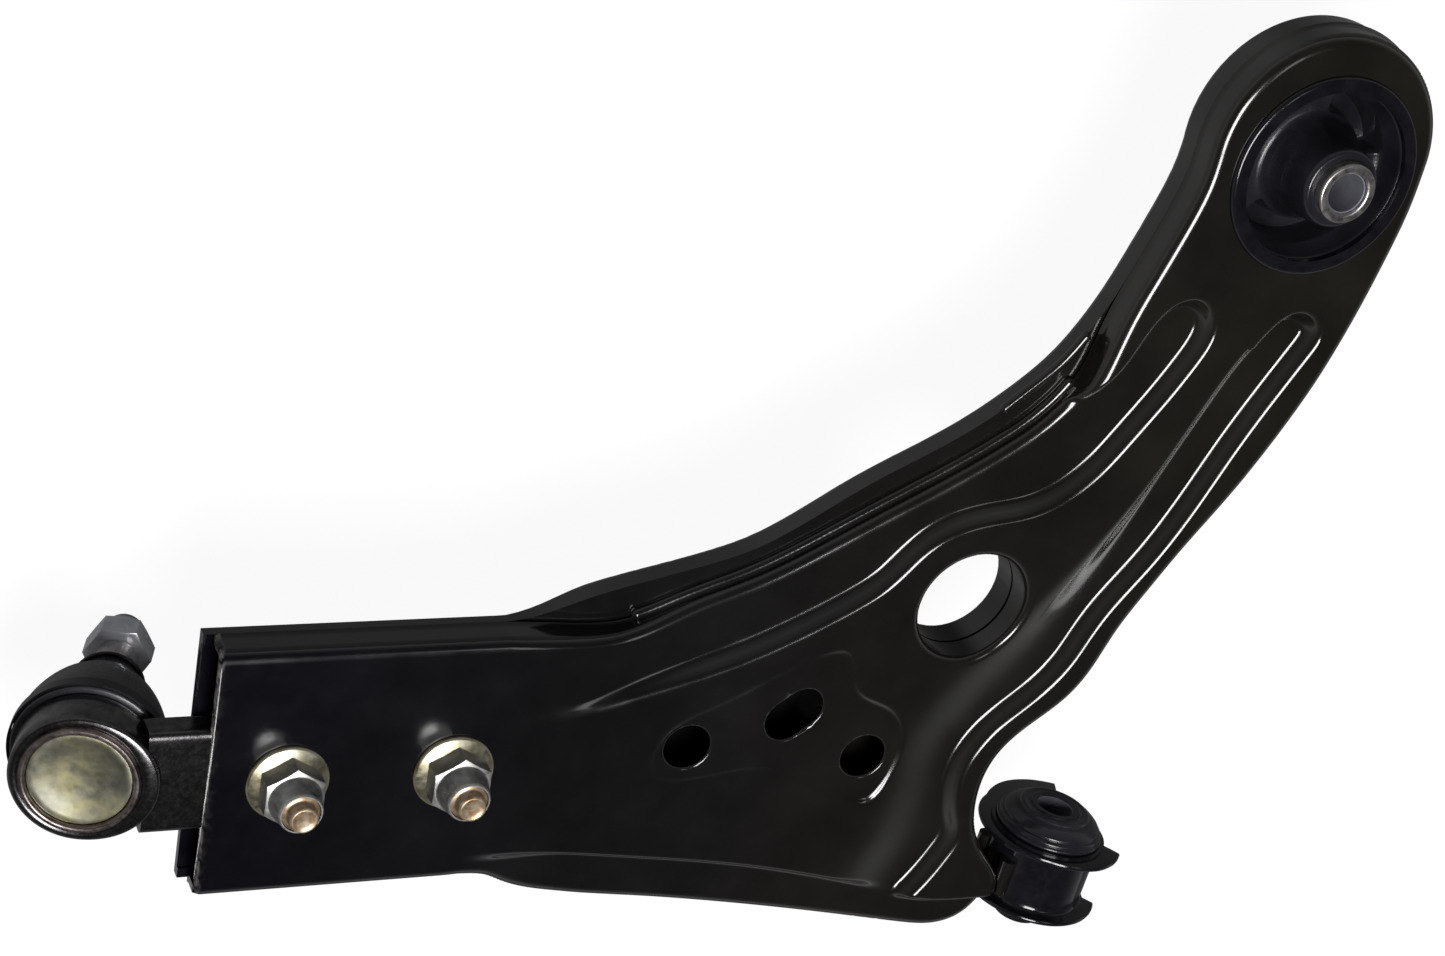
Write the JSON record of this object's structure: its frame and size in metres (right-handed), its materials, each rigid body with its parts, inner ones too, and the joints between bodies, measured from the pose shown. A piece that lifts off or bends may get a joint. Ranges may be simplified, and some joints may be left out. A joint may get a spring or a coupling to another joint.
{
  "type": "control arm",
  "caption": "Front lower control arm for a car: black welded sheet-steel arm with a large lightening hole, rubber bushes at its inner corners and a bolted-on ball joint with dust boot",
  "frame": {"origin": "middle of the front bush, on the line the arm swings about", "axes": "+X points inboard along the two ball-joint bolts, +Y from the front bush towards the rear bush, +Z out of the flat face that carries the flange nuts; the ball stud points to -Z"},
  "size_m": [0.4324, 0.334, 0.1163],
  "materials": {
    "front_shell": "gloss black paint over stamped steel",
    "back_shell": "gloss black paint over stamped steel",
    "ledge_weld_bead": "painted weld",
    "ledge_end_weld_bead": "painted weld",
    "collar_weld_beads": "painted weld",
    "front_bush_collar": "gloss black paint over steel",
    "front_bush_outer_sleeve": "black coated steel",
    "front_bush_rubber": "moulded black rubber",
    "front_bush_inner_sleeve": "dark coated steel",
    "rear_bush_outer_sleeve": "black coated steel",
    "rear_bush_rubber": "moulded black rubber",
    "rear_bush_inner_sleeve": "bright steel",
    "ball_joint_housing": "black coated forging",
    "ball_joint_end_cap": "yellowish zinc plate",
    "ball_joint_bearing_liner": "off-white acetal",
    "ball_stud": "bare steel",
    "dust_boot": "moulded black rubber",
    "boot_lower_band": "black steel band",
    "boot_neck_clip": "black spring wire",
    "stud_nut": "silver zinc plate",
    "clamp_bolts": "zinc plate, tips lightly rusted",
    "flange_nuts": "yellowish zinc plate"
  },
  "bodies": {
    "subframe_side": {"front_bush_inner_sleeve": "front_bush_inner_sleeve"},
    "arm": {"front_shell": "front_shell", "back_shell": "back_shell", "ledge_weld_bead": "ledge_weld_bead", "ledge_end_weld_bead": "ledge_end_weld_bead", "collar_weld_beads": "collar_weld_beads", "front_bush_collar": "front_bush_collar", "front_bush_outer_sleeve": "front_bush_outer_sleeve", "front_bush_rubber": "front_bush_rubber", "rear_bush_outer_sleeve": "rear_bush_outer_sleeve", "rear_bush_rubber": "rear_bush_rubber", "ball_joint_housing": "ball_joint_housing", "ball_joint_end_cap": "ball_joint_end_cap", "ball_joint_bearing_liner": "ball_joint_bearing_liner", "boot_lower_band": "boot_lower_band", "clamp_bolts": "clamp_bolts", "flange_nuts": "flange_nuts"},
    "rear_sleeve": {"rear_bush_inner_sleeve": "rear_bush_inner_sleeve"},
    "boot": {"dust_boot": "dust_boot"},
    "boot_neck": {"boot_neck_clip": "boot_neck_clip"},
    "stud": {"ball_stud": "ball_stud", "stud_nut": "stud_nut"}
  },
  "joints": [
    {"name": "arm_swing", "type": "hinge", "parent": "subframe_side", "child": "arm", "pos_m": [0, 0, 0], "axis": [0.1174, 0.9931, 0], "range_deg": [-12, 12], "stiffness_Nm_per_rad": 90},
    {"name": "rear_sleeve_turn", "type": "hinge", "parent": "arm", "child": "rear_sleeve", "pos_m": [0.0313, 0.2648, 0], "axis": [0.1174, 0.9931, 0], "range_deg": [-12, 12], "deforming": ["rear_bush_rubber"]},
    {"name": "stud_side_tilt", "type": "hinge", "parent": "arm", "child": "boot", "pos_m": [-0.33681, 0.0608, -0.00866], "axis": [0, 1, 0], "range_deg": [-18, 18], "deforming": ["dust_boot"]},
    {"name": "stud_fore_tilt", "type": "hinge", "parent": "boot", "child": "boot_neck", "pos_m": [-0.33681, 0.0608, -0.00866], "axis": [0.9397, 0, 0.342], "range_deg": [-12, 12], "deforming": ["dust_boot"]},
    {"name": "stud_spin", "type": "hinge", "parent": "boot_neck", "child": "stud", "pos_m": [-0.33681, 0.0608, -0.00866], "axis": [0.342, 0, -0.9397], "range_deg": [-45, 45]}
  ],
  "couplings": [
    {"joint": "rear_sleeve_turn", "follows": "arm_swing", "ratio": -1}
  ]
}
